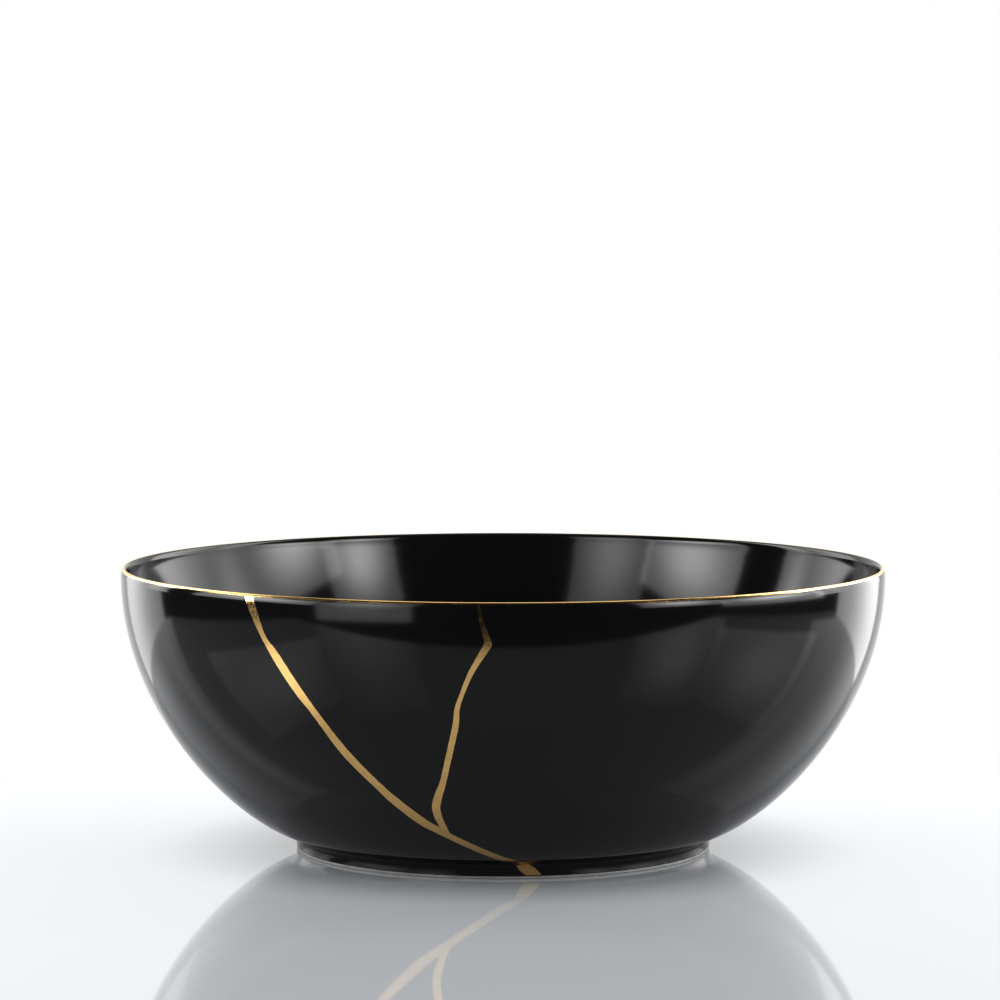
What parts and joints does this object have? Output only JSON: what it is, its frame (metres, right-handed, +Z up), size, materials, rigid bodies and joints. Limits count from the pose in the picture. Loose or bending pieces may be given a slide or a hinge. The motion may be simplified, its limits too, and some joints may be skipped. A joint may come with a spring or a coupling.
{
  "type": "kintsugi bowl",
  "caption": "Round hollow bowl in gloss black glaze with a gold-lined lip and gold kintsugi-style crack lines, on a low bare foot ring; stands by its own weight and holds fruit or salad.",
  "frame": {"origin": "middle of the underside, at the level that the foot ring stands on", "axes": "+Z up along the bowl's axis, -Y towards the forked gold line on the front"},
  "size_m": [0.23, 0.23, 0.0855],
  "materials": {
    "black_glaze": "polished",
    "gold_lustre": "gloss",
    "bare_porcelain": "matte"
  },
  "bodies": {
    "root": {"bowl": "black_glaze"}
  },
  "joints": []
}
